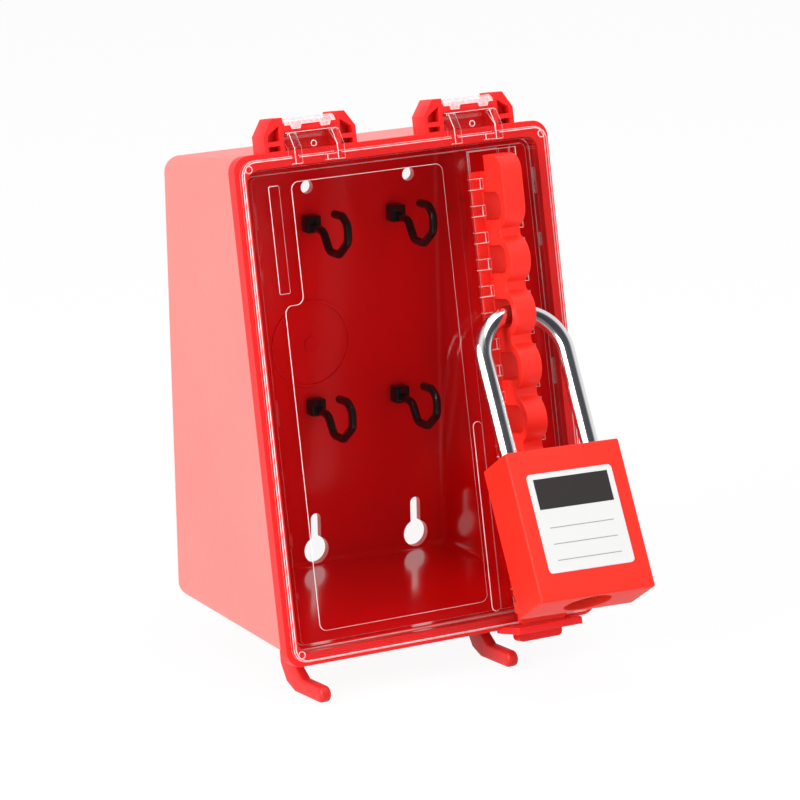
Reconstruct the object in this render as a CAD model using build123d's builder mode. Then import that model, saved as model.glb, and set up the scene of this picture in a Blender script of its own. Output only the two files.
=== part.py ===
from build123d import *
import os
from math import cos, radians, sin

os.makedirs("parts", exist_ok=True)

# Group lockout box: a wall box with a leaning front, a clear cover on two snap hinges,
# a sliding lock rail with eight shackle holes, four key hooks and one fitted padlock.
# Millimetres. +X is right, -Y is the front and +Z is up. The origin is the middle one of
# the upper three screw holes, on the back face.

# Tub
row_height = 124.4        # upper screw holes above the tub's underside
front_height = 147.0
back_height = 139.0
depth_bottom = 84.0
lean = 10.0               # the front leans back by this many degrees
front_slant = 150.0       # length of the leaning front of the tub
front_width = 105.0
back_width = 98.0
wall = 2.5
flange_width = 107.0
flange_bottom = -1.4
flange_top = 150.6
flange_thickness = 4.0
flange_radius = 5.0
mouth_width = 99.0
mouth_bottom = 2.5
mouth_top = 146.0
mouth_depth = 6.5
column_spacing = 36.0
screw_radius = 2.1
keyhole_head_z = 7.5
keyhole_head_radius = 4.3
keyhole_slot_width = 3.5
keyhole_top_z = 19.4

# Hinges
hinge_x = 27.0
tower_front = -0.2
tower_back = -8.0
tower_root = 148.6        # foot of the towers, inside the tub's top wall
tower_wall = 1.7          # between the two ears, behind the bar
window_depth = 3.5
bar_v = 157.0
bar_d = -1.9
bar_radius = 1.75
ear_gap = 17.6
knuckle_width = 16.6
clip_bore = 1.85
clip_radius = 3.1

# Cover
cover_width = 104.0
cover_height = 149.0
cover_gap = 0.3           # between the flange and the plate
cover_face = 2.5          # front of the plate before the flange
skirt_clearance = 0.4
skirt_wall = 1.5
skirt_depth = 4.5
skirt_corner = 3.6

# Lock rail
rail_x = 32.0
slot_half = 8.2
slot_bottom = 5.1
slot_top = 143.5
tooth_tip = 4.0
tooth_height = 3.4
tooth_pitch = 8.1
tooth_count = 16
first_tooth_top = 135.4
foot_half = 6.8           # half width of the rail's sliding foot
fin_thickness = 7.0
fin_top = 142.3
hole_pitch = 16.2
first_hole_v = 126.8
hole_count = 8
hole_half = 4.25
hole_back = 0.5
hole_corner = 3.3
hole_centre_d = 6.35
bump_radius = 7.15
neck_d = 8.8

# Keeper under the rail
shelf_top = -0.4
shelf_thickness = 2.1
shelf_reach = 8.5
keeper_slot_half = 9.3
keeper_slot_back = 1.85
keeper_slot_front = 7.5
tab_half = 7.6
tab_bottom = -5.9
tongue_half = 8.2
tongue_thickness = 2.0

# Padlock, turned a little to the left on its shackle
case_width = 37.5
case_height = 46.5
case_thickness = 18.4
shackle_spacing = 27.0
shackle_radius = 2.7
bow_height = 45.2         # middle of the wire at the bow, above the case
lock_hole_v = 94.0
lock_hole_d = 6.4
heel_depth = 27.0
toe_depth = 10.0
case_corner = 0.8
recess_depth = 2.4        # from the case's bottom to the cylinder
leg_bore = 2.8
core_radius = 7.3
core_top = -21.5
plug_radius = 4.0
plug_y = -0.6
cam_radius = 5.0
ball_radius = 2.6
ball_x = 7.9
ball_z = -7.0
pin_radius = 1.15
pin_pitch = 3.6
first_pin_z = -40.5
pin_count = 5
running_gap = 0.05

floor_z = -row_height
lean_sin = sin(radians(lean))
lean_cos = cos(radians(lean))

# The leaning front: x is across, y is up the slant (v), z is out of the front (d)
front = Plane(origin=(0, -depth_bottom, floor_z), x_dir=(1, 0, 0), z_dir=(0, -lean_cos, lean_sin))
# Looking along +X: x is up the slant, y is out of the front
across = Plane(origin=front.origin, x_dir=front.y_dir, z_dir=(1, 0, 0))


def level(v):
    """Plane across the slant at height v: x is across, y is out of the front, extruding down."""
    return Plane(origin=front.origin, x_dir=(1, 0, 0), z_dir=-front.y_dir).offset(-v)


def on_front(u, v, d):
    """The point u across, v up the slant and d out of the front."""
    return front.from_local_coords(Vector(u, v, d))


def back_plane(depth):
    """Plane parallel to the wall, depth in front of the back face: x is X and y is Z."""
    return Plane.XZ.offset(depth)


def finish_piece(piece, name):
    """Name a finished piece and write it."""
    piece.label = name
    export_step(piece, f"parts/{name}.step")


def hole_heights():
    """Heights up the slant of the rail's shackle holes, from the top one down."""
    return [first_hole_v - hole_pitch * k for k in range(hole_count)]


# Tub: the red moulded box with its flange, hinge ears and keeper shelf, in one piece

hook_columns = (0.0, 30.0)
hook_rows = (113.0, 54.5)
under_hooks = {"left": -44.5, "right": 19.8}
flange_mid = (flange_bottom + flange_top) / 2
mouth_mid = (mouth_bottom + mouth_top) / 2
shelf_root_half = 13.0
shelf_front_half = 11.1


def tapered_form(inset, edge_radius, back_radius):
    """The tub's outer form, or the form of its inside where inset is the wall."""
    with BuildPart() as form:
        with BuildSketch(Plane.YZ.offset(-flange_width)):
            with BuildLine():
                Polyline(
                    (-inset, floor_z + inset),
                    (-depth_bottom + inset * lean_sin, floor_z + inset),
                    (-depth_bottom + front_slant * lean_sin, floor_z + front_height - inset),
                    (-inset, floor_z + back_height - inset),
                    close=True,
                )
            make_face()
        extrude(amount=2 * flange_width)
        with BuildSketch(Plane.XY.offset(floor_z - wall)):
            with BuildLine():
                Polyline(
                    (inset - back_width / 2, 0),
                    (back_width / 2 - inset, 0),
                    (front_width / 2 - inset, -depth_bottom),
                    (inset - front_width / 2, -depth_bottom),
                    close=True,
                )
            make_face()
        extrude(amount=2 * front_height, mode=Mode.INTERSECT)
        long_edges = form.edges().filter_by(lambda e: abs((e @ 1 - e @ 0).Y) > depth_bottom / 2)
        fillet(long_edges, radius=edge_radius)
        fillet(form.faces().sort_by(Axis.Y)[-1].edges(), radius=back_radius)
    return form.part


outer_form = tapered_form(0, 5, 4)
inner_form = tapered_form(wall, 2.5, 2)

with BuildPart() as tub:
    add(outer_form)
    add(inner_form, mode=Mode.SUBTRACT)

    # flange round the mouth
    with BuildSketch(front):
        with Locations((0, flange_mid)):
            RectangleRounded(flange_width, flange_top - flange_bottom, flange_radius)
    extrude(amount=-flange_thickness)
    with BuildSketch(front):
        with Locations((0, mouth_mid)):
            RectangleRounded(mouth_width, mouth_top - mouth_bottom, flange_radius - 1)
    extrude(amount=-mouth_depth, mode=Mode.SUBTRACT)

    # two hinge towers, each with two ears, a bar between them and a thin wall behind the bar
    for side in (-1, 1):
        outer_edge = side * 42.5
        inner_edge = side * 11.7
        with BuildSketch(front.offset(tower_front)):
            with BuildLine():
                Polyline(
                    (outer_edge, tower_root),
                    (outer_edge, 155.6),
                    (side * 39.3, 160.5),
                    (side * 15.0, 160.5),
                    (inner_edge, 155.8),
                    (inner_edge, tower_root),
                    close=True,
                )
            make_face()
        extrude(amount=tower_back - tower_front)
        with BuildSketch(front.offset(tower_front)):
            with Locations((side * hinge_x, flange_top)):
                Rectangle(ear_gap, 20, align=(Align.CENTER, Align.MIN))
        extrude(amount=tower_back - tower_front + tower_wall, mode=Mode.SUBTRACT)
        with BuildSketch(front.offset(tower_back)):
            with Locations((side * hinge_x, bar_v + bar_radius)):
                Rectangle(ear_gap, 20, align=(Align.CENTER, Align.MIN))
        extrude(amount=tower_wall, mode=Mode.SUBTRACT)
        with BuildSketch(front.offset(tower_front)):
            for ear_x, ear_out in ((side * 39.1, side), (side * 14.9, -side)):
                with BuildLine():
                    Polyline(
                        (ear_x - ear_out * 1.9, 158.1),
                        (ear_x - ear_out * 1.9, 153.7),
                        (ear_x + ear_out * 2.1, 153.7),
                        (ear_x + ear_out * 1.9, 155.7),
                        close=True,
                    )
                make_face()
                with Locations((ear_x, 151.5)):
                    Rectangle(4.0, 1.5)
        extrude(amount=-window_depth, mode=Mode.SUBTRACT)
        with BuildSketch(across.offset(side * hinge_x - ear_gap / 2 - 1)):
            with Locations((bar_v, bar_d)):
                Circle(bar_radius)
        extrude(amount=ear_gap + 2)

    # keeper shelf, with the slot that takes the rail's tongue and a tab behind the slot
    slot_middle = (keeper_slot_back + keeper_slot_front) / 2
    with BuildSketch(level(shelf_top)):
        with BuildLine():
            Polyline(
                (rail_x - shelf_root_half, -flange_thickness / 2),
                (rail_x - shelf_root_half, 0.8),
                (rail_x - shelf_front_half, shelf_reach),
                (rail_x + shelf_front_half, shelf_reach),
                (rail_x + shelf_root_half, 0.8),
                (rail_x + shelf_root_half, -flange_thickness / 2),
                close=True,
            )
        make_face()
        with Locations((rail_x, slot_middle)):
            Rectangle(2 * keeper_slot_half, keeper_slot_front - keeper_slot_back, mode=Mode.SUBTRACT)
    extrude(amount=shelf_thickness)
    tab_top = shelf_top - shelf_thickness / 2
    with BuildSketch(front.offset(keeper_slot_back)):
        with Locations((rail_x, tab_top)):
            tab = Rectangle(2 * tab_half, tab_top - tab_bottom, align=(Align.CENTER, Align.MAX))
        fillet(tab.vertices().group_by(Axis.Y)[0], radius=1.5)
    extrude(amount=-keeper_slot_back - 2)

    # screw holes, keyholes and the round mark inside the back wall
    with BuildSketch(back_plane(-1)):
        with GridLocations(column_spacing, 1, 3, 1):
            Circle(screw_radius)
        with Locations((0, floor_z + keyhole_head_z)):
            with GridLocations(column_spacing, 1, 3, 1):
                Circle(keyhole_head_radius)
        slot_length = keyhole_top_z - keyhole_head_z
        with Locations((0, floor_z + keyhole_head_z + slot_length / 2 - keyhole_slot_width / 4)):
            with GridLocations(column_spacing, 1, 3, 1):
                SlotOverall(slot_length + keyhole_slot_width / 2, keyhole_slot_width, rotation=90)
    extrude(amount=wall + 2, mode=Mode.SUBTRACT)
    with BuildSketch(back_plane(wall - 0.2)):
        with Locations((0, floor_z + 74.5)):
            Circle(14)
            Circle(12.9, mode=Mode.SUBTRACT)
            Circle(2.4)
    extrude(amount=0.7)

    # blind holes for the studs of the four key hooks
    with BuildSketch(back_plane(wall - 1.7)):
        for column in hook_columns:
            for row in hook_rows:
                with Locations((column, floor_z + row)):
                    Circle(1.25)
    extrude(amount=3, mode=Mode.SUBTRACT)
finish_piece(tub.part, "tub")


# Key hooks: four black plastic hooks, a square foot on the wall and a round curling wire

hook_wire = 1.3
for column_name, column in zip(("middle", "right"), hook_columns):
    for row_name, row in zip(("upper", "lower"), hook_rows):
        hook_z = floor_z + row
        with BuildPart() as key_hook:
            with BuildSketch(back_plane(wall)):
                with Locations((column, hook_z + 0.2)):
                    RectangleRounded(5.0, 5.4, 0.8)
            extrude(amount=4.5)
            chamfer(key_hook.faces().sort_by(Axis.Y)[0].edges(), length=0.5)
            with BuildSketch(back_plane(wall - 1.6)):
                with Locations((column, hook_z)):
                    Circle(1.2)
            extrude(amount=2)
            with BuildLine(Plane.YZ.offset(column)) as curl:
                FilletPolyline(
                    (-5.2, hook_z - 0.2),
                    (-12.6, hook_z - 1.0),
                    (-16.4, hook_z - 6.6),
                    (-22.6, hook_z - 6.6),
                    (-28.6, hook_z - 1.6),
                    (-28.6, hook_z + 3.6),
                    (-25.4, hook_z + 6.0),
                    (-20.2, hook_z + 5.8),
                    radius=(3.0, 2.5, 4.0, 4.0, 2.5, 2.5),
                )
            with BuildSketch(Plane(origin=curl.line @ 0, z_dir=curl.line % 0)):
                Circle(hook_wire)
            sweep(path=curl.line)
        finish_piece(key_hook.part, f"key_hook_{row_name}_{column_name}")


# Under-hooks: two red arms below the floor, which run down and forward to a round nose

arm_half = 1.8
arm_edge = 0.6
nose_radius = 2.45
nose_y = -88.6
nose_z = floor_z - 9.3

for side_name, hook_x in under_hooks.items():
    with BuildPart() as under_hook:
        with BuildSketch(Plane.YZ.offset(hook_x - arm_half)):
            with BuildLine():
                Polyline(
                    (-64.0, floor_z),
                    (-64.6, floor_z - 5.5),
                    (-68.4, floor_z - 10.6),
                    (-73.5, floor_z - 12.4),
                    (nose_y, nose_z - nose_radius),
                    (nose_y, nose_z + nose_radius),
                    (-78.0, floor_z - 7.3),
                    (-74.4, floor_z - 5.0),
                    (-73.4, floor_z),
                    close=True,
                )
            make_face()
            bends = vertices().filter_by(lambda point: -79 < point.Y < -64.2 and point.Z < floor_z - 1)
            fillet(bends, radius=2.0)
            with Locations((nose_y, nose_z)):
                Circle(nose_radius)
        extrude(amount=2 * arm_half)
        chamfer(
            under_hook.faces().filter_by(Axis.X).edges().filter_by(lambda e: e.center().Z < floor_z - 0.5),
            length=arm_edge,
        )
    finish_piece(under_hook.part, f"under_hook_{side_name}")


# Cover: clear plate with a skirt in the mouth, the rail's channel and two snap knuckles

cover_mid = cover_height / 2
plate_thickness = cover_face - cover_gap
skirt_width = mouth_width - 2 * skirt_clearance
skirt_height = mouth_top - mouth_bottom - 2 * skirt_clearance
panel_height = 0.6
channel_inner = 7.2
channel_outer = 9.7
channel_depth = 3.9
channel_room = 2.6        # clear depth for the rail's foot behind the teeth
channel_opening = 10.4
tooth_relief = 0.3
leg_width = 2.4
mark_radius = 1.2
web_mark_radius = 1.0
snap_ribs = ((132.5, 8.0), (114.5, 4.2), (74.0, 8.0), (36.0, 4.0), (19.0, 2.2))

with BuildPart() as cover:
    with BuildSketch(front.offset(cover_gap)):
        with Locations((0, cover_mid)):
            RectangleRounded(cover_width, cover_height, 4.5)
    extrude(amount=plate_thickness)
    chamfer(cover.faces().sort_by(lambda f: front.to_local_coords(f.center()).Z)[-1].edges(), length=0.5)
    with BuildSketch(front.offset(cover_gap)):
        with Locations((0, mouth_mid)):
            RectangleRounded(skirt_width, skirt_height, skirt_corner)
            RectangleRounded(
                skirt_width - 2 * skirt_wall,
                skirt_height - 2 * skirt_wall,
                skirt_corner - skirt_wall,
                mode=Mode.SUBTRACT,
            )
    extrude(amount=-skirt_depth - cover_gap)

    # snap ribs down both sides of the skirt
    for rib_v, rib_length in snap_ribs:
        for side in (-1, 1):
            with BuildSketch(across.offset(side * (skirt_width / 2 - 0.1))):
                with Locations((rib_v, -3.3)):
                    RectangleRounded(rib_length, 1.6, 0.7)
            extrude(amount=side * 0.3)

    # raised panel left of the channel
    with BuildSketch(front.offset(cover_face)):
        with BuildLine():
            outline = Polyline(
                (-36.9, 141.5),
                (14.3, 141.5),
                (14.3, 8.5),
                (-43.2, 8.5),
                (-43.2, 105.5),
                (-36.9, 105.5),
                close=True,
            )
        make_face()
        fillet(vertices(), radius=2.4)
    extrude(amount=panel_height)
    with BuildSketch(front.offset(cover_face)):
        with Locations((-42.6, 125.0)):
            RectangleRounded(3.6, 32.0, 0.6)
    extrude(amount=panel_height)
    with BuildSketch(front.offset(cover_face)):
        with Locations((17.0, 34.0)):
            SlotOverall(58.0, 3.2, rotation=90)
    extrude(amount=panel_height)

    # channel that holds the rail, open to the front between its two rows of teeth
    slot_length = slot_top - slot_bottom
    slot_mid = (slot_bottom + slot_top) / 2
    with BuildSketch(front.offset(cover_gap)):
        with Locations((rail_x, slot_mid)):
            Rectangle(2 * channel_outer, slot_length + 3)
    extrude(amount=-channel_depth)
    with BuildSketch(front.offset(cover_gap)):
        with Locations((rail_x, slot_mid)):
            Rectangle(2 * channel_inner, slot_length)
    extrude(amount=-channel_room, mode=Mode.SUBTRACT)
    with BuildSketch(front):
        with Locations((rail_x, slot_mid)):
            Rectangle(channel_opening, slot_length)
    extrude(amount=-channel_depth - 2, mode=Mode.SUBTRACT)
    with BuildSketch(front.offset(cover_gap)):
        with Locations((rail_x, slot_mid)):
            Rectangle(2 * slot_half, slot_length)
    extrude(amount=plate_thickness + 2, mode=Mode.SUBTRACT)
    for k in range(tooth_count):
        tooth_v = first_tooth_top - tooth_height / 2 - k * tooth_pitch
        for side in (-1, 1):
            with BuildSketch(front.offset(cover_gap + tooth_relief)):
                with Locations((rail_x + side * (slot_half + tooth_tip + 0.5) / 2, tooth_v)):
                    Rectangle(slot_half - tooth_tip + 0.5, tooth_height)
            extrude(amount=plate_thickness - tooth_relief)

    # snap knuckles: a C round the bar, a thin web and two legs down to posts on the plate
    for side in (-1, 1):
        knuckle_left = side * hinge_x - knuckle_width / 2
        with BuildSketch(across.offset(knuckle_left)):
            with Locations((bar_v, bar_d)):
                Circle(clip_radius)
            with BuildLine():
                Polyline(
                    (bar_v - 1.9, bar_d - 2.3),
                    (bar_v - 0.5, bar_d + 2.9),
                    (cover_height - 1.2, 1.5),
                    (cover_height - 1.2, cover_gap),
                    (151.2, cover_gap),
                    close=True,
                )
            make_face()
            with Locations((bar_v, bar_d)):
                Circle(clip_bore, mode=Mode.SUBTRACT)
            with Locations((bar_v, bar_d + 2.4)):
                Rectangle(2.1, 3.2, mode=Mode.SUBTRACT)
        extrude(amount=knuckle_width)
        for leg in (-1, 1):
            leg_left = side * hinge_x + leg * (knuckle_width - leg_width) / 2 - leg_width / 2
            with BuildSketch(across.offset(leg_left)):
                with BuildLine():
                    Polyline(
                        (bar_v - 2.4, bar_d + 1.6),
                        (bar_v - 1.2, bar_d + 3.9),
                        (151.2, 4.8),
                        (146.6, 4.8),
                        (146.6, cover_face - 0.4),
                        (150.8, 0.6),
                        close=True,
                    )
                make_face()
            extrude(amount=leg_width)
        for tab in (-4.9, 4.9):
            with BuildSketch(front.offset(bar_d + 1.95)):
                with BuildLine():
                    Polyline(
                        (side * hinge_x + tab - 2.2, bar_v + 2.4),
                        (side * hinge_x + tab + 2.2, bar_v + 2.4),
                        (side * hinge_x + tab + 1.3, bar_v - 0.2),
                        (side * hinge_x + tab - 1.3, bar_v - 0.2),
                        close=True,
                    )
                make_face()
            extrude(amount=1.0)
        with BuildSketch(front.offset(cover_face - 0.2)):
            with Locations((side * hinge_x + 4.4, 147.6)):
                Rectangle(3.0, 1.8)
        extrude(amount=1.4)
        with BuildSketch(front.offset(1.0)):
            with Locations((side * hinge_x, 152.0)):
                Circle(web_mark_radius)
                Circle(web_mark_radius - 0.3, mode=Mode.SUBTRACT)
        extrude(amount=0.5)

    # round ejector marks in the four corners
    with BuildSketch(front.offset(cover_face - 0.1)):
        for mark_x in (-49.8, 49.8):
            for mark_v in (2.5, 146.5):
                with Locations((mark_x, mark_v)):
                    Circle(mark_radius)
                    Circle(mark_radius - 0.3, mode=Mode.SUBTRACT)
    extrude(amount=0.3)
finish_piece(cover.part, "cover")


# Lock rail: red slider with a fin that takes eight shackles, a thumb grip and a tongue

fin_front = hole_centre_d + bump_radius
foot_top = 137.3
foot_back = -2.0
foot_front = 0.3
clear_d = cover_face + 0.3
fin_foot_v = slot_bottom + 2.6
fin_bottom = 4.5
grip_bottom = 3.2
grip_top = 6.6
grip_half = 8.9
grip_reach = 9.0

with BuildPart() as lock_rail:
    with BuildSketch(front.offset(foot_back)):
        with Locations((rail_x, (fin_foot_v + foot_top) / 2)):
            Rectangle(2 * foot_half, foot_top - fin_foot_v)
    extrude(amount=foot_front - foot_back)
    with BuildSketch(across.offset(rail_x - fin_thickness / 2)):
        with Locations((fin_bottom, clear_d)):
            Rectangle(fin_top - fin_bottom, neck_d - clear_d, align=(Align.MIN, Align.MIN))
        with Locations((fin_foot_v, foot_back)):
            Rectangle(foot_top - fin_foot_v, neck_d - foot_back, align=(Align.MIN, Align.MIN))
        with Locations(*[(hole_v, hole_centre_d) for hole_v in hole_heights()]):
            Circle(bump_radius)
        with Locations((first_hole_v, clear_d)):
            Rectangle(fin_top - first_hole_v, fin_front - clear_d, align=(Align.MIN, Align.MIN))
        with Locations((fin_bottom, clear_d)):
            Rectangle(12, 5, align=(Align.MIN, Align.MIN))
    extrude(amount=fin_thickness)
    # nothing of the fin is left below the foot's back
    with BuildSketch(across.offset(rail_x - fin_thickness)):
        with Locations((0, foot_back)):
            Rectangle(front_slant, 10, align=(Align.MIN, Align.MAX))
        with Locations((0, clear_d)):
            Rectangle(fin_foot_v, 12, align=(Align.MIN, Align.MAX))
    extrude(amount=2 * fin_thickness, mode=Mode.SUBTRACT)
    fillet(
        lock_rail.edges().filter_by(Axis.X).filter_by(
            lambda e: front.to_local_coords(e.center()).Z > fin_front - 0.1
        ).sort_by(Axis.Z)[-1],
        radius=5.5,
    )
    necks = lock_rail.edges().filter_by(Axis.X).filter_by(
        lambda e: abs(front.to_local_coords(e.center()).Z - neck_d) < 0.05
    )
    fillet(necks, radius=1.2)
    with BuildSketch(across.offset(rail_x - fin_thickness)):
        with Locations(*[(hole_v, hole_back) for hole_v in hole_heights()]):
            RectangleRounded(
                2 * hole_half,
                hole_centre_d + hole_half - hole_back,
                hole_corner,
                align=(Align.CENTER, Align.MIN),
            )
            Rectangle(2 * hole_half, hole_corner, align=(Align.CENTER, Align.MIN))
    extrude(amount=2 * fin_thickness, mode=Mode.SUBTRACT)

    # thumb grip with flutes, and the tongue below it
    with BuildSketch(level(grip_top)):
        with BuildLine():
            ThreePointArc((rail_x - grip_half, clear_d), (rail_x, grip_reach), (rail_x + grip_half, clear_d))
            Line((rail_x + grip_half, clear_d), (rail_x - grip_half, clear_d))
        make_face()
        grip_radius = (grip_half**2 + (grip_reach - clear_d) ** 2) / (2 * (grip_reach - clear_d))
        for k in range(-4, 5):
            angle = radians(k * 14)
            with Locations(
                (rail_x + grip_radius * sin(angle), grip_reach - grip_radius + grip_radius * cos(angle))
            ):
                Circle(0.55, mode=Mode.SUBTRACT)
    extrude(amount=grip_top - grip_bottom)
    with BuildSketch(front.offset(clear_d)):
        with Locations((rail_x, 0)):
            tongue = Rectangle(2 * tongue_half, grip_bottom + 0.5, align=(Align.CENTER, Align.MIN))
        fillet(tongue.vertices().group_by(Axis.Y)[0], radius=1.2)
    extrude(amount=tongue_thickness)
finish_piece(lock_rail.part, "lock_rail")


# Padlock. Its own frame: origin at the middle of the case top, z up along the shackle,
# x to the right and y to the back. The bow hangs in the third hole of the rail.

lock_x_dir = Vector(0.996, -0.089, 0.0017)
lock_z_dir = Vector(0.044, 0.51, 0.859)
bow_middle = on_front(rail_x, lock_hole_v, lock_hole_d)
lock = Plane(origin=bow_middle - lock_z_dir.normalized() * bow_height, x_dir=lock_x_dir, z_dir=lock_z_dir)
# in the plane of the shackle: x is across, y is up along the legs
bow = Plane(origin=lock.origin, x_dir=lock.x_dir, z_dir=-lock.y_dir)
# looking across the lock: x is to the back, y is up along the legs
lock_side = Plane(origin=lock.origin, x_dir=lock.y_dir, z_dir=lock.x_dir)
leg_x = shackle_spacing / 2
core_bottom = -case_height + recess_depth
pin_heights = [first_pin_z + k * pin_pitch for k in range(pin_count)]
plug_top = -22.0
retaining_x = core_radius + 0.5
retaining_z = -33.0
retaining_radius = 1.25
keyway_width = 1.8
cam_top = -4.2
cam_bottom = -10.2
# facing the back of the lock: x is across, y is down along the legs
lock_back = Plane(origin=lock.origin, x_dir=lock.x_dir, z_dir=lock.y_dir)

# Case: red moulded body with bores for the legs, the cylinder and the two balls

with BuildPart() as lock_case:
    with BuildSketch(lock.offset(-case_height)):
        RectangleRounded(case_width, case_thickness, case_corner)
    extrude(amount=case_height)
    chamfer(lock_case.faces().filter_by(lock).edges(), length=case_corner / 2)
    with BuildSketch(lock):
        with Locations((-leg_x, 0)):
            Circle(leg_bore)
    extrude(amount=-heel_depth - 14, mode=Mode.SUBTRACT)
    with BuildSketch(lock):
        with Locations((leg_x, 0)):
            Circle(leg_bore)
    extrude(amount=-toe_depth - 1.5, mode=Mode.SUBTRACT)
    with BuildSketch(lock.offset(-case_height)):
        Circle(core_radius)
    extrude(amount=core_top + case_height, mode=Mode.SUBTRACT)
    with BuildSketch(lock.offset(core_top)):
        with Locations((0, plug_y)):
            Circle(cam_radius + 0.25)
    extrude(amount=cam_top + 0.6 - core_top, mode=Mode.SUBTRACT)
    with BuildSketch(lock_side.offset(-leg_x)):
        with Locations((0, ball_z)):
            Circle(ball_radius + 0.1)
    extrude(amount=shackle_spacing, mode=Mode.SUBTRACT)
    with BuildSketch(lock_back.offset(-3)):
        with Locations((retaining_x, -retaining_z)):
            Circle(retaining_radius + 0.02)
    extrude(amount=case_thickness, mode=Mode.SUBTRACT)
finish_piece(lock_case.part, "lock_case")

# Shackle: polished steel, a long heel leg and a short toe leg, notched for the balls

with BuildPart() as lock_shackle:
    with BuildLine(bow) as shackle_path:
        Line((-leg_x, -heel_depth), (-leg_x, bow_height - leg_x))
        ThreePointArc((-leg_x, bow_height - leg_x), (0, bow_height), (leg_x, bow_height - leg_x))
        Line((leg_x, bow_height - leg_x), (leg_x, -toe_depth))
    with BuildSketch(Plane(origin=shackle_path.line @ 0, z_dir=shackle_path.line % 0)):
        Circle(shackle_radius)
    sweep(path=shackle_path.line)
    chamfer(lock_shackle.faces().filter_by(GeomType.PLANE).edges(), length=0.5)
    for side in (-1, 1):
        with Locations(lock.from_local_coords(Vector(side * (leg_x - 4.4), 0, ball_z))):
            Sphere(ball_radius + 0.3, mode=Mode.SUBTRACT)
finish_piece(lock_shackle.part, "lock_shackle")

# Cylinder: brass housing with five pin chambers and the bore for the plug

with BuildPart() as lock_cylinder:
    with BuildSketch(lock.offset(core_bottom)):
        Circle(core_radius - running_gap)
        with Locations((0, plug_y)):
            Circle(plug_radius + running_gap, mode=Mode.SUBTRACT)
    extrude(amount=core_top - core_bottom - 0.1)
    with BuildSketch(lock_back.offset(1.5)):
        with Locations(*[(0, -pin_z) for pin_z in pin_heights]):
            Circle(pin_radius + running_gap)
    extrude(amount=core_radius, mode=Mode.SUBTRACT)
    with BuildSketch(lock_back.offset(-3)):
        with Locations((retaining_x, -retaining_z)):
            Circle(retaining_radius + 0.02)
    extrude(amount=case_thickness, mode=Mode.SUBTRACT)
finish_piece(lock_cylinder.part, "lock_cylinder")

# Plug: the brass barrel that the key turns, with its keyway and pin chambers

with BuildPart() as key_plug:
    with BuildSketch(lock.offset(core_bottom + 0.1)):
        with Locations((0, plug_y)):
            Circle(plug_radius)
    extrude(amount=plug_top - core_bottom - 0.1)
    with BuildSketch(lock.offset(core_bottom)):
        with Locations((0, plug_y - 0.9)):
            Rectangle(keyway_width, 5.0)
    extrude(amount=20.5, mode=Mode.SUBTRACT)
    with BuildSketch(lock_back.offset(0.6)):
        with Locations(*[(0, -pin_z) for pin_z in pin_heights]):
            Circle(pin_radius + running_gap)
    extrude(amount=core_radius, mode=Mode.SUBTRACT)
    with BuildSketch(lock.offset(plug_top)):
        with Locations((0, plug_y)):
            Rectangle(1.6, 2 * plug_radius + 1)
    extrude(amount=-1.6, mode=Mode.SUBTRACT)
finish_piece(key_plug.part, "key_plug")

# Plug pins and driver pins, meeting at the plug's edge as they do with the right key in

with BuildPart() as plug_pins:
    with BuildSketch(lock_back.offset(0.7)):
        with Locations(*[(0, -pin_z) for pin_z in pin_heights]):
            Circle(pin_radius)
    extrude(amount=plug_y + plug_radius - 0.22 - 0.7)
    chamfer(plug_pins.faces().filter_by(bow).edges(), length=0.3)
finish_piece(plug_pins.part, "plug_pins")

with BuildPart() as driver_pins:
    with BuildSketch(lock_back.offset(3.5)):
        with Locations(*[(0, -pin_z) for pin_z in pin_heights]):
            Circle(pin_radius)
    extrude(amount=1.6)
    chamfer(driver_pins.faces().filter_by(bow).edges(), length=0.25)
finish_piece(driver_pins.part, "driver_pins")

# Pin springs behind the drivers

with BuildPart() as pin_springs:
    for pin_z in pin_heights:
        coil_start = lock.from_local_coords(Vector(0, 5.3, pin_z))
        with BuildLine() as coil:
            Helix(pitch=0.5, height=1.5, radius=0.8, center=coil_start, direction=lock.y_dir)
        with BuildSketch(Plane(origin=coil.line @ 0, z_dir=coil.line % 0)):
            Circle(0.15)
        sweep(path=coil.line)
finish_piece(pin_springs.part, "pin_springs")

# Actuator: steel cam between the balls, turned by a blade in the plug's slot

with BuildPart() as actuator:
    with BuildSketch(lock.offset(cam_bottom)):
        with Locations((0, plug_y)):
            Circle(cam_radius)
    extrude(amount=cam_top - cam_bottom)
    with BuildSketch(lock.offset(cam_bottom)):
        for side in (-1, 1):
            with Locations((0, plug_y + side * (cam_radius + 1.6))):
                Circle(ball_radius + 0.2)
    extrude(amount=cam_top - cam_bottom, mode=Mode.SUBTRACT)
    with BuildSketch(lock.offset(plug_top + 0.1)):
        with Locations((0, plug_y)):
            Circle(3.0)
    extrude(amount=cam_bottom - plug_top + 0.5)
    with BuildSketch(lock.offset(plug_top - 1.5)):
        with Locations((0, plug_y)):
            Rectangle(1.5, 5.6)
    extrude(amount=2.0)
finish_piece(actuator.part, "actuator")

# Locking balls: two steel balls in the cross bore, drawn back from the shackle's notches

with BuildPart() as locking_balls:
    for side in (-1, 1):
        with Locations(lock.from_local_coords(Vector(side * ball_x, 0, ball_z))):
            Sphere(ball_radius)
finish_piece(locking_balls.part, "locking_balls")

# Shackle spring: pushes the heel leg up when the lock is opened

with BuildPart() as shackle_spring:
    spring_start = lock.from_local_coords(Vector(-leg_x, 0, -heel_depth - 13.3))
    with BuildLine() as spring_coil:
        Helix(pitch=2.0, height=12.5, radius=1.9, center=spring_start, direction=lock.z_dir)
    with BuildSketch(Plane(origin=spring_coil.line @ 0, z_dir=spring_coil.line % 0)):
        Circle(0.45)
    sweep(path=spring_coil.line)
finish_piece(shackle_spring.part, "shackle_spring")

# Retaining pin: pressed in from the back, it keys the cylinder to the case

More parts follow.
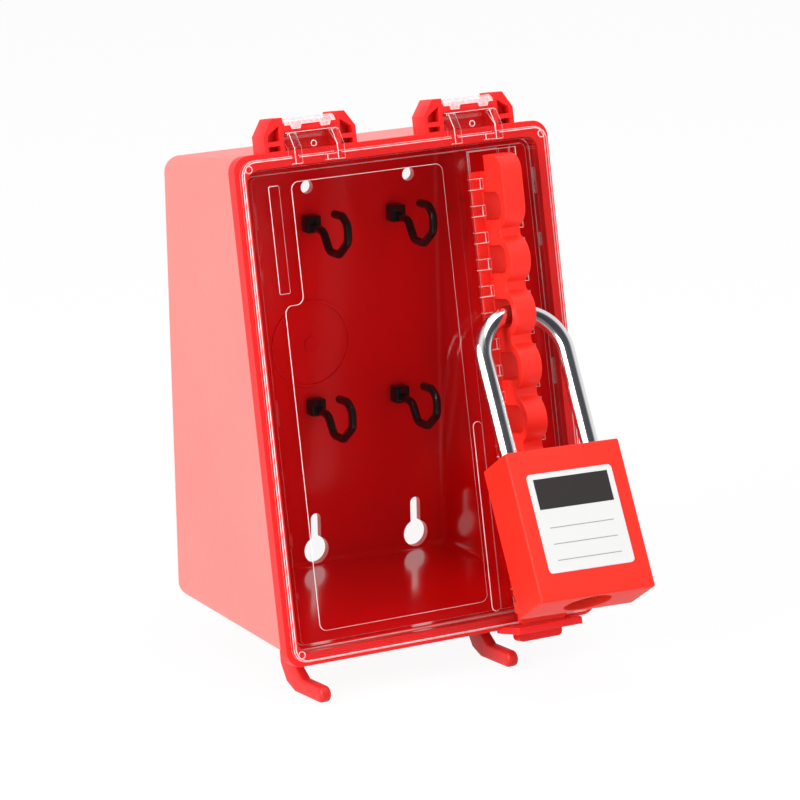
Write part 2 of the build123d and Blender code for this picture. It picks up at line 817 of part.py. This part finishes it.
with BuildPart() as retaining_pin:
    with BuildSketch(lock_back.offset(-2.8)):
        with Locations((retaining_x, -retaining_z)):
            Circle(retaining_radius)
    extrude(amount=2.8 + case_thickness / 2 - 0.3)
    chamfer(retaining_pin.faces().filter_by(bow).edges(), length=0.3)
finish_piece(retaining_pin.part, "retaining_pin")

# Label: thin vinyl plate on the front of the case

label_width = 28.0
label_height = 30.6
label_middle = -23.0
with BuildPart() as front_label:
    with BuildSketch(bow.offset(case_thickness / 2)):
        with Locations((0, label_middle)):
            RectangleRounded(label_width, label_height, 1.2)
    extrude(amount=0.3)
finish_piece(front_label.part, "front_label")
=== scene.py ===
import bmesh
import bpy
from math import cos, pi, radians, sin
from mathutils import Matrix, Vector


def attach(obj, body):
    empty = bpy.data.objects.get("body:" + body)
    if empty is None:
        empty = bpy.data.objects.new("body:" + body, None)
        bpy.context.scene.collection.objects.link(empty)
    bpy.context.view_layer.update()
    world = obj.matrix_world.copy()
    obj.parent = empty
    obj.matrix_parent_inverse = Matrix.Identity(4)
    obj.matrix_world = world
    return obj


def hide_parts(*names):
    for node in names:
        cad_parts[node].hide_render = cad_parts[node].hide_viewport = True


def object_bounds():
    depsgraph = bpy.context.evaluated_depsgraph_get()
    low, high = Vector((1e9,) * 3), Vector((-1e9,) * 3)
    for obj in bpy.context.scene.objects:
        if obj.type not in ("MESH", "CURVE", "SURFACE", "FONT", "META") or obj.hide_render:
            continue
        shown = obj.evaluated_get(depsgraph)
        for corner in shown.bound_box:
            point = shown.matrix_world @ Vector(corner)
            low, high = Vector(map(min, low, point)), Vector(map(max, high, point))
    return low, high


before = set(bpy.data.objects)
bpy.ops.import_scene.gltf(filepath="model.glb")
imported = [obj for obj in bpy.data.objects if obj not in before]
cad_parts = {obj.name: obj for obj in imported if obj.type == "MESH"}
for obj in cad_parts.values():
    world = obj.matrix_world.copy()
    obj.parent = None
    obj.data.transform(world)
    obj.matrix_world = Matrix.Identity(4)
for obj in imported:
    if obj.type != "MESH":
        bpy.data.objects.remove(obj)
cad_box = [list(corner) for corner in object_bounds()]


# Tub. One injection moulding in red ABS: the box, its flange, the four hinge ears with
# their two bars, and the keeper shelf. The outside is softly textured and the inside is
# glossy, because it is drawn off a polished core.

mm = 0.001
lean = radians(10)
foot_depth = 84
floor_drop = 124.4
front_foot = Vector((0, -foot_depth, -floor_drop)) * mm
out_front = Vector((0, -cos(lean), sin(lean)))


class Wire:
    """An output socket in a tree of nodes, which takes part in plain arithmetic."""

    def __init__(self, tree, socket=None):
        self.tree = tree
        self.socket = socket

    def make(self, kind, settings=None, sockets=None, output=0):
        """Add a node: its settings first, then the values or wires of its sockets."""
        node = self.tree.nodes.new(kind)
        for name, value in (settings or {}).items():
            if name == "stops":
                ramp = node.color_ramp
                while len(ramp.elements) < len(value):
                    ramp.elements.new(0.5)
                for element, (place, colour) in zip(ramp.elements, value):
                    element.position = place
                    element.color = colour
            else:
                setattr(node, name, value)
        for name, value in (sockets or {}).items():
            if isinstance(value, Wire):
                self.tree.links.new(value.socket, node.inputs[name])
            else:
                node.inputs[name].default_value = value
        return Wire(self.tree, node.outputs[output]) if node.outputs else None

    def other(self, output):
        """Another output of the node that this wire comes from."""
        return Wire(self.tree, self.socket.node.outputs[output])

    def math(self, operation, first, second=0.0):
        """One step of arithmetic on wires and numbers."""
        return self.make("ShaderNodeMath", {"operation": operation}, {0: first, 1: second})

    def __add__(self, other):
        return self.math("ADD", self, other)

    def __radd__(self, other):
        return self.math("ADD", other, self)

    def __sub__(self, other):
        return self.math("SUBTRACT", self, other)

    def __rsub__(self, other):
        return self.math("SUBTRACT", other, self)

    def __mul__(self, other):
        return self.math("MULTIPLY", self, other)

    def __rmul__(self, other):
        return self.math("MULTIPLY", other, self)

    def __lt__(self, other):
        return self.math("LESS_THAN", self, other)

    def __gt__(self, other):
        return self.math("GREATER_THAN", self, other)

    def size(self):
        """The value without its sign."""
        return self.math("ABSOLUTE", self)

    def limited(self):
        """The value kept between 0 and 1."""
        clamped = {"operation": "ADD", "use_clamp": True}
        return self.make("ShaderNodeMath", clamped, {0: self, 1: 0.0})


def new_material(name, coordinates="Object"):
    """A bare material, with a wire that carries the piece's own coordinates."""
    material = bpy.data.materials.new(name)
    material.use_nodes = True
    material.node_tree.nodes.clear()
    start = Wire(material.node_tree)
    place = start.make("ShaderNodeTexCoord", output=coordinates)
    return material, place


def noise(place, scale, detail):
    """Soft noise over the piece, from 0 to 1."""
    sockets = {"Vector": place, "Scale": scale, "Detail": detail}
    return place.make("ShaderNodeTexNoise", None, sockets)


def relief(height, strength, distance):
    """A bump that follows the height."""
    sockets = {"Strength": strength, "Distance": distance, "Height": height}
    return height.make("ShaderNodeBump", None, sockets)


def blended(low, high, amount):
    """A colour that goes from low to high as the wire goes from 0 to 1."""
    return amount.make(
        "ShaderNodeMix",
        {"data_type": "RGBA"},
        {0: amount, 6: low, 7: high},
        output=2,
    )


def close_material(surface):
    """Send a shader to the material's output."""
    surface.make("ShaderNodeOutputMaterial", None, {"Surface": surface})


def moulded(name, deep, light, roughness, grain_size, grain_depth, specular=0.3):
    """Moulded plastic: faint flow marks in its colour, a fine grain and handling marks."""
    material, place = new_material(name)
    flow = noise(place, scale=26.0, detail=3.0)
    grain = noise(place, scale=grain_size, detail=2.0)
    smears = noise(place, scale=70.0, detail=5.0)
    shader = place.make(
        "ShaderNodeBsdfPrincipled",
        None,
        {
            "Base Color": blended((*deep, 1), (*light, 1), flow),
            "Roughness": (roughness - 0.05) + smears * 0.1,
            "Specular IOR Level": specular,
            "Normal": relief(grain, strength=grain_depth, distance=0.0004),
        },
    )
    close_material(shader)
    return material


def placed(name, data):
    """An object that holds the data, linked to the scene."""
    holder = bpy.data.objects.new(name, data)
    bpy.context.scene.collection.objects.link(holder)
    return holder


def settled(piece):
    """Make what the piece's modifiers give its own plain mesh, and remove them."""
    made = bpy.data.meshes.new_from_object(
        piece.evaluated_get(bpy.context.evaluated_depsgraph_get())
    )
    piece.modifiers.clear()
    piece.data = made
    made.name = piece.name
    return made


def softened(node, name, width, edge_slot=-1):
    """A copy of a CAD node, its loose triangles joined and its outward sharp edges broken.

    The narrow faces along the broken edges get the material in edge_slot.
    """
    same_point = 2e-6
    flat_turn = radians(0.3)
    sharp_turn = radians(32)
    mesh = bpy.data.meshes.new(name)
    form = bmesh.new()
    form.from_mesh(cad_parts[node].data)
    bmesh.ops.remove_doubles(form, verts=form.verts, dist=same_point)
    bmesh.ops.dissolve_limit(form, angle_limit=flat_turn, verts=form.verts, edges=form.edges)
    bmesh.ops.triangulate(form, faces=form.faces, quad_method="BEAUTY", ngon_method="BEAUTY")
    form.normal_update()
    broken = form.edges.layers.float.new("bevel_weight_edge")
    for edge in form.edges:
        if edge.is_convex and edge.calc_face_angle(0) > sharp_turn:
            edge[broken] = 1
    form.to_mesh(mesh)
    form.free()
    for slot in range(edge_slot + 1):
        mesh.materials.append(None)
    piece = placed(name, mesh)
    bevel = piece.modifiers.new("edges", "BEVEL")
    bevel.width = width * mm
    bevel.segments = 2
    bevel.limit_method = "WEIGHT"
    bevel.loop_slide = False
    bevel.use_clamp_overlap = False
    bevel.material = edge_slot
    shade_by_angle(settled(piece), 20)
    return piece


def shade_by_angle(mesh, angle):
    """Smooth faces, with an edge kept sharp where it turns by more than the angle."""
    for face in mesh.polygons:
        face.use_smooth = True
    form = bmesh.new()
    form.from_mesh(mesh)
    for edge in form.edges:
        if len(edge.link_faces) == 2:
            edge.smooth = edge.calc_face_angle(0) < radians(angle)
    form.to_mesh(mesh)
    form.free()


def dress(piece, *materials):
    """Give the piece its material, or its materials in the order of its slots."""
    slots = piece.data.materials
    while len(slots) < len(materials):
        slots.append(None)
    for slot, material in enumerate(materials):
        slots[slot] = material


# The outer walls are coloured a pale pink, far lighter than the rim's red of the same plastic.
# This is a painted highlight that stands in for the bright light and sheen on the lit side wall.
wall_red_painted_sheen = moulded(
    "wall_red_painted_sheen",
    deep=(0.78, 0.125, 0.110),
    light=(0.84, 0.155, 0.138),
    roughness=0.4,
    grain_size=1100.0,
    grain_depth=0.22,
    specular=0.5,
)
rim_red = moulded(
    "rim_red",
    deep=(0.72, 0.008, 0.008),
    light=(0.80, 0.011, 0.010),
    roughness=0.42,
    grain_size=900.0,
    grain_depth=0.08,
)
core_red = moulded(
    "core_red",
    deep=(0.72, 0.004, 0.005),
    light=(0.80, 0.005, 0.006),
    roughness=0.12,
    grain_size=300.0,
    grain_depth=0.02,
    specular=0.35,
)
tub = softened("tub", "tub_moulding", 0.12)
dress(tub, wall_red_painted_sheen, rim_red, core_red)

wall = 1.9
back_half_width = 49.0
side_spread = 3.5
back_height = 139.0
roof_climb = 8
roof_run = 58
flange_back = -4.2
ear_start = 40
ear_clearance = 3.5
core_start = 2.2
for face in tub.data.polygons:
    x, y, z = face.center / mm
    forward = -y
    rise = z + floor_drop
    out = (Vector(face.center) - front_foot).dot(out_front) / mm
    half_width = back_half_width + side_spread * forward / foot_depth - wall
    roof = back_height + roof_climb * min(forward / roof_run, 1) - wall
    if out > flange_back or rise > roof + ear_clearance and forward > ear_start:
        face.material_index = 1
    elif abs(x) < half_width and wall < rise < roof and forward > core_start:
        face.material_index = 2
    else:
        face.material_index = 0
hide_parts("tub")
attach(tub, "box")


# Key hooks. Four black nylon hooks: a square foot pressed into the back wall, and a round
# wire that drops, runs forward, turns up and curls back over the key ring.

bent_rod = bpy.data.node_groups.new("bent_rod", "GeometryNodeTree")
for socket_name, kind in (
    ("Path", "NodeSocketGeometry"),
    ("Rod Radius", "NodeSocketFloat"),
    ("Bend Radius", "NodeSocketFloat"),
    ("Steps In Bend", "NodeSocketInt"),
    ("Sides", "NodeSocketInt"),
    ("Finish", "NodeSocketMaterial"),
):
    bent_rod.interface.new_socket(socket_name, in_out="INPUT", socket_type=kind)
bent_rod.interface.new_socket("Rod", in_out="OUTPUT", socket_type="NodeSocketGeometry")
path = Wire(bent_rod).make("NodeGroupInput", output="Path")
line = path.make("GeometryNodeMeshToCurve", None, {"Mesh": path})
bends = path.make(
    "GeometryNodeFilletCurve",
    {"mode": "POLY"},
    {
        "Curve": line,
        "Count": path.other("Steps In Bend"),
        "Radius": path.other("Bend Radius"),
        "Limit Radius": True,
    },
)
section = path.make(
    "GeometryNodeCurvePrimitiveCircle",
    {"mode": "RADIUS"},
    {"Resolution": path.other("Sides"), "Radius": path.other("Rod Radius")},
)
rod = path.make(
    "GeometryNodeCurveToMesh",
    None,
    {"Curve": bends, "Profile Curve": section, "Fill Caps": True},
)
rod = path.make("GeometryNodeRealizeInstances", None, {"Geometry": rod})
rod = path.make(
    "GeometryNodeSetMaterial",
    None,
    {"Geometry": rod, "Material": path.other("Finish")},
)
path.make("NodeGroupOutput", None, {"Rod": rod})


def grown(name, points, tree, inputs):
    """A piece that a geometry tree makes along a chain of points, as a plain mesh."""
    chain = bpy.data.meshes.new(name + "_path")
    chain.from_pydata(points, [(k, k + 1) for k in range(len(points) - 1)], [])
    piece = placed(name, chain)
    modifier = piece.modifiers.new("maker", "NODES")
    modifier.node_group = tree
    for item in tree.interface.items_tree:
        if item.name in inputs:
            modifier[item.identifier] = inputs[item.name]
    made = settled(piece)
    form = bmesh.new()
    form.from_mesh(made)
    bmesh.ops.remove_doubles(form, verts=form.verts, dist=1e-6)
    bmesh.ops.recalc_face_normals(form, faces=form.faces)
    form.to_mesh(made)
    form.free()
    shade_by_angle(made, 40)
    return piece


hook_black = moulded(
    "hook_black",
    deep=(0.004, 0.004, 0.004),
    light=(0.009, 0.008, 0.009),
    roughness=0.2,
    grain_size=1400.0,
    grain_depth=0.06,
    specular=0.5,
)
hook_side = (
    (-5.2, -0.2),
    (-12.6, -1.0),
    (-16.4, -6.6),
    (-22.6, -6.6),
    (-28.6, -1.6),
    (-28.6, 3.6),
    (-25.4, 6.0),
    (-20.2, 5.8),
)
hook_rows = (("upper", 113.0), ("lower", 54.5))
hook_columns = (("middle", 0.0), ("right", 30.0))
wire_radius = 1.3
wire_bend = 3.0
hook_foot_size = Vector((5, 4.5, 5.4))
hook_foot_back = -4.75
hook_foot_lift = 0.2
hook_foot_edge = 0.6
for row_name, rise in hook_rows:
    row = rise - floor_drop
    for column_name, column in hook_columns:
        node = f"key_hook_{row_name}_{column_name}"
        hook = grown(
            node + "_wire",
            [Vector((column, y, row + z)) * mm for y, z in hook_side],
            bent_rod,
            {
                "Rod Radius": wire_radius * mm,
                "Bend Radius": wire_bend * mm,
                "Steps In Bend": 7,
                "Sides": 28,
                "Finish": hook_black,
            },
        )
        foot = bmesh.new()
        foot.from_mesh(hook.data)
        block = bmesh.ops.create_cube(foot, size=1.0)["verts"]
        foot_middle = Vector((column, hook_foot_back, row + hook_foot_lift))
        for corner in block:
            corner.co = (foot_middle + corner.co * hook_foot_size) * mm
        bmesh.ops.bevel(
            foot,
            geom=list({edge for corner in block for edge in corner.link_edges}),
            offset=hook_foot_edge * mm,
            segments=3,
            profile=0.5,
            affect="EDGES",
        )
        foot.to_mesh(hook.data)
        foot.free()
        shade_by_angle(hook.data, 40)
        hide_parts(node)
        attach(hook, "box")


# Under-hooks. Two red plastic arms that hang from the floor and run forward to a round
# nose, for tags or a cord.

# The arms are coloured a darker red than the box. This is painted shade for the shadow under its
# floor.
under_red_painted_shade = moulded(
    "under_red_painted_shade",
    deep=(0.50, 0.010, 0.009),
    light=(0.60, 0.013, 0.011),
    roughness=0.4,
    grain_size=900.0,
    grain_depth=0.12,
)
for node in ("under_hook_left", "under_hook_right"):
    arm = softened(node, node + "_arm", 0.3)
    dress(arm, under_red_painted_shade)
    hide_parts(node)
    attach(arm, "box")


# Cover. Clear polycarbonate moulding that snaps over the two bars: a plate in front of the
# flange, a skirt inside the mouth, and a channel whose two rows of teeth hold the rail.

def crossed(amount, first, second):
    """A shader that goes from the first to the second as the wire goes from 0 to 1."""
    return amount.make("ShaderNodeMixShader", None, {0: amount, 1: first, 2: second})


clear, place = new_material("cover_clear")
flow_bump = relief(noise(place, scale=45.0, detail=1.0), strength=0.05, distance=0.0005)
turned_away = place.make(
    "ShaderNodeLayerWeight",
    None,
    {"Blend": 0.5, "Normal": flow_bump},
    output="Facing",
)
gloss = place.make(
    "ShaderNodeBsdfPrincipled",
    None,
    {
        "Base Color": (0.96, 0.95, 0.96, 1),
        "Metallic": 1.0,
        "Roughness": 0.05,
        "Normal": flow_bump,
    },
)
see_through = place.make("ShaderNodeBsdfTransparent", None, {"Color": (0.975, 0.972, 0.972, 1)})
shine_head_on = 0.012
shine_at_edge = 0.75
shine = turned_away * turned_away * turned_away * shine_at_edge + shine_head_on
close_material(crossed(shine.limited(), see_through, gloss))


def frost_and_glint(name, veil, grain):
    """Whitish clear plastic: on the ribs, a fine rough face that scatters part of the light; on
    the cover's broken edges, a painted glint.
    """
    material, place = new_material(name)
    speck = noise(place, scale=grain, detail=2.0)
    scatter = place.make(
        "ShaderNodeBsdfPrincipled",
        None,
        {"Base Color": (0.9, 0.86, 0.87, 1), "Roughness": 0.35 + speck * 0.2},
    )
    clear_part = place.make(
        "ShaderNodeBsdfTransparent",
        None,
        {"Color": (0.98, 0.975, 0.975, 1)},
    )
    amount = (speck * 0.5 + (veil - 0.25)).limited()
    close_material(crossed(amount, clear_part, scatter))
    return material


# The narrow faces along the cover's broken edges get a whitish scattering finish. This is a
# painted glint for the light that the clear edges catch.
clear_edge_painted_glint = frost_and_glint("cover_edge_painted_glint", veil=0.55, grain=220.0)
clear_rib = frost_and_glint("cover_clear_rib", veil=0.34, grain=900.0)
cover = softened("cover", "cover_moulding", 0.17, edge_slot=1)
dress(cover, clear, clear_edge_painted_glint, clear_rib)
knuckle_foot = 157.4
rib_foot = 49.15
rib_front = -2.3
up_slant = Vector((0, sin(lean), cos(lean)))
for face in cover.data.polygons:
    offset = (Vector(face.center) - front_foot) / mm
    on_rib = abs(offset.x) > rib_foot and offset.dot(out_front) < rib_front
    on_knuckle = offset.dot(up_slant) > knuckle_foot
    if face.material_index == 0 and (on_rib or on_knuckle):
        face.material_index = 2
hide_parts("cover")
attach(cover, "cover")


# Lock rail. Red slider whose fin takes the shackles of eight padlocks; its foot runs behind
# the cover's teeth, and the fluted grip at the bottom moves it.

rail_red = moulded(
    "rail_red",
    deep=(0.74, 0.016, 0.009),
    light=(0.84, 0.022, 0.012),
    roughness=0.42,
    grain_size=1100.0,
    grain_depth=0.1,
)
rail = softened("lock_rail", "rail_moulding", 0.3)
dress(rail, rail_red)
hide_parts("lock_rail")
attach(rail, "rail")


# Padlock case. Red nylon body, a little lighter than the box, moulded in one piece round
# the cylinder's bore, with its edges just broken.

case_red = moulded(
    "case_red",
    deep=(0.72, 0.018, 0.009),
    light=(0.80, 0.026, 0.013),
    roughness=0.46,
    grain_size=1000.0,
    grain_depth=0.1,
    specular=0.2,
)
case = softened("lock_case", "case_moulding", 0.25)
dress(case, case_red)
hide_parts("lock_case")
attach(case, "lock")


# Shackle. Bright chrome-plated steel bar of 5.4 mm, bent to a bow, with a long heel leg and
# a short toe leg, and a notch in each for a locking ball.

shackle_steel, place = new_material("shackle_steel")
drawn = noise(place, scale=320.0, detail=4.0)
shackle_shader = place.make(
    "ShaderNodeBsdfPrincipled",
    None,
    {"Base Color": (0.72, 0.72, 0.74, 1), "Metallic": 1.0, "Roughness": 0.1 + drawn * 0.12},
)
close_material(shackle_shader)


def on_front(across, up, out):
    """A point in millimetres across, up the slant and out of the leaning front."""
    return front_foot + (Vector((across, 0, 0)) + up_slant * up + out_front * out) * mm


lock_up = Vector((0.044, 0.51, 0.859)).normalized()
lock_right = Vector((0.996, -0.089, 0.0017))
lock_right = (lock_right - lock_up * lock_right.dot(lock_up)).normalized()
lock_back = lock_up.cross(lock_right)
bow_height = 45.2
bow_middle = on_front(across=32, up=94.0, out=6.4)
case_top = bow_middle - lock_up * bow_height * mm


def on_lock(across, back, up):
    """A point in millimetres across the padlock, to its back and up from the case's top."""
    return case_top + (lock_right * across + lock_back * back + lock_up * up) * mm


notched_rod = bent_rod.copy()
notched_rod.name = "notched_rod"
for socket_name, kind in (
    ("Notch Radius", "NodeSocketFloat"),
    ("First Notch", "NodeSocketVector"),
    ("Notch Step", "NodeSocketVector"),
):
    notched_rod.interface.new_socket(socket_name, in_out="INPUT", socket_type=kind)
kinds = {node.bl_idname: node for node in notched_rod.nodes}
finishing = kinds["GeometryNodeRealizeInstances"]
path = Wire(notched_rod, kinds["NodeGroupInput"].outputs["Path"])
places = path.make(
    "GeometryNodeMeshLine",
    None,
    {
        "Count": 2,
        "Start Location": path.other("First Notch"),
        "Offset": path.other("Notch Step"),
    },
)
ball = path.make(
    "GeometryNodeMeshIcoSphere",
    None,
    {"Radius": path.other("Notch Radius"), "Subdivisions": 4},
)
cutters = path.make("GeometryNodeInstanceOnPoints", None, {"Points": places, "Instance": ball})
cutters = path.make("GeometryNodeRealizeInstances", None, {"Geometry": cutters})
plain_rod = Wire(notched_rod, finishing.inputs["Geometry"].links[0].from_socket)
cut_rod = path.make(
    "GeometryNodeMeshBoolean",
    {"operation": "DIFFERENCE"},
    {"Mesh 1": plain_rod, "Mesh 2": cutters},
)
notched_rod.links.new(cut_rod.socket, finishing.inputs["Geometry"])

half_spacing = 13.5
heel_end = -27.0
toe_end = -10.0
leg_radius = 2.7
notch_radius = 2.9
notch_inset = 4.4
notch_level = -7.0
shackle = grown(
    "shackle_bow",
    [
        on_lock(-half_spacing, 0, heel_end),
        on_lock(-half_spacing, 0, bow_height),
        on_lock(half_spacing, 0, bow_height),
        on_lock(half_spacing, 0, toe_end),
    ],
    notched_rod,
    {
        "Rod Radius": leg_radius * mm,
        "Bend Radius": half_spacing * mm,
        "Steps In Bend": 24,
        "Sides": 48,
        "Finish": shackle_steel,
        "Notch Radius": notch_radius * mm,
        "First Notch": on_lock(notch_inset - half_spacing, 0, notch_level),
        "Notch Step": lock_right * 2 * (half_spacing - notch_inset) * mm,
    },
)
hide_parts("lock_shackle")
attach(shackle, "shackle")


# Cylinder parts. Turned brass housing, plug and pins, and small hardened steel parts, all
# held inside the case; only the plug's face with its keyway shows, at the bottom.

def turned(name, colour, roughness):
    """Turned metal with fine marks from the tool."""
    material, place = new_material(name)
    marks = noise(place, scale=1500.0, detail=2.0)
    shader = place.make(
        "ShaderNodeBsdfPrincipled",
        None,
        {"Base Color": colour, "Metallic": 1.0, "Roughness": roughness + marks * 0.15},
    )
    close_material(shader)
    return material


brass = turned("turned_brass", (0.72, 0.52, 0.24, 1), 0.25)
hard_steel = turned("hard_steel", (0.55, 0.55, 0.57, 1), 0.2)
inner_parts = {
    "lock_cylinder": brass,
    "key_plug": brass,
    "plug_pins": brass,
    "driver_pins": brass,
    "pin_springs": hard_steel,
    "actuator": hard_steel,
    "locking_balls": hard_steel,
    "shackle_spring": hard_steel,
    "retaining_pin": hard_steel,
}
for node, metal in inner_parts.items():
    dress(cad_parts[node], metal)


# Label. Thin matt vinyl, stuck on the front of the case: white with rounded corners, a plain
# dark band at its head, and three ruled lines for a name and a date.

label_width = 28.0
label_height = 30.6
label_corner = 1.3
label_front = 9.5
label_middle = -23.0
label_sunk = 0.3
label_bevel = 0.08
corner_steps = 8
outline_steps = 4 * corner_steps
quarter_turn = pi / 2
label_form = bmesh.new()
label_map = label_form.loops.layers.uv.new("label")
rings = []
for inset, out in (
    (0.0, label_front - label_sunk),
    (0.0, label_front - label_bevel),
    (label_bevel, label_front),
):
    ring = []
    for step in range(outline_steps):
        quarter, part = divmod(step, corner_steps)
        turn = part / (corner_steps - 1) * quarter_turn + quarter * quarter_turn
        side_x = (1, -1, -1, 1)[quarter]
        side_z = (1, 1, -1, -1)[quarter]
        x = side_x * (label_width / 2 - label_corner) + (label_corner - inset) * cos(turn)
        z = side_z * (label_height / 2 - label_corner) + (label_corner - inset) * sin(turn)
        ring.append(label_form.verts.new(on_lock(x, -out, z + label_middle)))
    rings.append(ring)
for low, high in zip(rings, rings[1:]):
    for step in range(outline_steps):
        after = (step + 1) % outline_steps
        label_form.faces.new((low[step], low[after], high[after], high[step]))
label_form.faces.new(rings[2])
label_form.faces.new(rings[0][::-1])
bmesh.ops.recalc_face_normals(label_form, faces=label_form.faces)
for face in label_form.faces:
    for loop in face.loops:
        offset = (loop.vert.co - case_top) / mm
        across = offset.dot(lock_right) / label_width + 0.5
        upward = (offset.dot(lock_up) - label_middle) / label_height + 0.5
        loop[label_map].uv = (across, upward)
label_mesh = bpy.data.meshes.new("case_label")
label_form.to_mesh(label_mesh)
label_form.free()
label = placed("case_label", label_mesh)

band_half_width = 12.2
band_half_height = 4.7
band_level = 8.9
rule_half_width = 10.5
rule_half_height = 0.16
rule_levels = (-1.6, -6.6, -11.6)
label_print, place = new_material("label_print", "UV")
label_x = place.make("ShaderNodeSeparateXYZ", None, {0: place})
label_z = label_x.other(1)
label_x = (label_x - 0.5) * label_width
label_z = (label_z - 0.5) * label_height
band = (label_x.size() < band_half_width) * ((label_z - band_level).size() < band_half_height)
rules = 0.0
for level in rule_levels:
    rules = ((label_z - level).size() < rule_half_height) + rules
rules = rules * (label_x.size() < rule_half_width)
speckle = noise(place, scale=60.0, detail=3.0)
paper_white = blended((0.55, 0.55, 0.545, 1), (0.59, 0.59, 0.585, 1), speckle)
printed = blended(paper_white, (0.016, 0.013, 0.012, 1), (band + rules * 0.55).limited())
close_material(
    place.make(
        "ShaderNodeBsdfPrincipled",
        None,
        {
            "Base Color": printed,
            "Roughness": 0.6 - band * 0.05,
            "Normal": relief(speckle, strength=0.05, distance=0.0002),
        },
    )
)
dress(label, label_print)
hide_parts("front_label")
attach(label, "lock")


# Floor, light and camera. A plain pale floor just below the under-hooks, soft light from
# both sides, and a camera where the photograph was taken from.

floor_gap = 0.0005
floor_level = cad_box[0][2] - floor_gap
floor_form = bmesh.new()
bmesh.ops.create_grid(floor_form, x_segments=1, y_segments=1, size=6)
floor_mesh = bpy.data.meshes.new("floor")
floor_form.to_mesh(floor_mesh)
floor_form.free()
for corner in floor_mesh.vertices:
    corner.co.z = floor_level
floor = placed("floor", floor_mesh)
floor_white, place = new_material("floor_white")
paper = place.make(
    "ShaderNodeBsdfPrincipled",
    None,
    {"Base Color": (0.88, 0.88, 0.88, 1), "Roughness": 0.9},
)
depth = place.make("ShaderNodeSeparateXYZ", None, {0: place}, output="Y")
ray = place.make("ShaderNodeLightPath", output="Is Camera Ray")
shown = (ray + ray.other("Is Glossy Ray") + ray.other("Is Transmission Ray")).limited()
dim_ends = 0.25
dim_fades = 5.0
mirrored = ((depth + dim_ends) * dim_fades).limited()
tone = blended((0.15, 0.15, 0.16, 1), (1, 1, 1, 1), (ray + mirrored).limited())
glow = place.make("ShaderNodeEmission", None, {"Color": tone, "Strength": 1.0})
close_material(crossed(shown * 0.93, paper, glow))
dress(floor, floor_white)

# The room is white all round in the camera's eye, and dim in front of the box where only a
# polished surface mirrors it, which would otherwise show nothing but white.
world = bpy.data.worlds.new("studio")
bpy.context.scene.world = world
world.use_nodes = True
world.node_tree.nodes.clear()
ray = Wire(world.node_tree).make("ShaderNodeLightPath", output="Is Camera Ray")
seen = (ray.other("Is Glossy Ray") + ray.other("Is Transmission Ray")).limited()
heading = ray.make("ShaderNodeTexCoord", output="Generated")
heading = heading.make("ShaderNodeSeparateXYZ", None, {0: heading}, output="Y")
room_tones = (
    (0.0, (0.05, 0.05, 0.06, 1)),
    (0.22, (0.09, 0.09, 0.10, 1)),
    (0.36, (1, 1, 1, 1)),
)
room_tone = heading.make("ShaderNodeValToRGB", {"stops": room_tones}, {0: heading * 0.5 + 0.5})
room_light = ray.make("ShaderNodeBackground", None, {"Color": (1, 1, 1, 1), "Strength": 0.55})
mirrored_room = ray.make("ShaderNodeBackground", None, {"Color": room_tone, "Strength": 1.0})
backdrop = ray.make("ShaderNodeBackground", None, {"Color": (1, 1, 1, 1), "Strength": 1.0})
lit = crossed(seen, room_light, mirrored_room)
ray.make("ShaderNodeOutputWorld", None, {"Surface": crossed(ray, lit, backdrop)})


def soft_lamp(name, place, aim, size, power, mirrored=True):
    """A square soft box at place, turned towards aim, which gloss mirrors or not."""
    lamp = bpy.data.lights.new(name, "AREA")
    lamp.shape = "SQUARE"
    lamp.size = size
    lamp.energy = power
    holder = placed(name, lamp)
    holder.location = place
    holder.visible_glossy = mirrored
    holder.rotation_euler = (Vector(aim) - Vector(place)).to_track_quat("-Z", "Y").to_euler()


box_middle = (0.0, -0.05, -0.05)
soft_lamp("left_box", (-1.1, -0.35, 0.35), box_middle, size=0.8, power=18)
soft_lamp("front_box", (0.5, -1.3, 0.7), box_middle, size=0.9, power=6.5, mirrored=False)
soft_lamp("top_box", (0.1, -0.3, 1.3), box_middle, size=0.8, power=8)

# The photograph was taken with a long lens from the left, a little above the box.
camera_azimuth = radians(-28.904)
camera_elevation = radians(13.981)
camera_roll = radians(-1.268)
camera_distance = 1.362469
camera_target = Vector((0.010561, -0.040, -0.061781))
towards = Vector(
    (
        sin(camera_azimuth) * cos(camera_elevation),
        -cos(camera_azimuth) * cos(camera_elevation),
        sin(camera_elevation),
    )
)
right = Vector((cos(camera_azimuth), sin(camera_azimuth), 0))
above = towards.cross(right)
rolled_right = right * cos(camera_roll) + above * sin(camera_roll)
rolled_above = above * cos(camera_roll) - right * sin(camera_roll)
camera_data = bpy.data.cameras.new("camera")
camera_data.sensor_width = 36
camera_data.lens = 199.55
camera_data.clip_end = 20
camera = placed("camera", camera_data)
turn = Matrix((rolled_right, rolled_above, towards)).transposed()
camera.matrix_world = Matrix.Translation(camera_target + towards * camera_distance) @ turn.to_4x4()
bpy.context.scene.camera = camera
bpy.context.scene.view_settings.view_transform = "Standard"
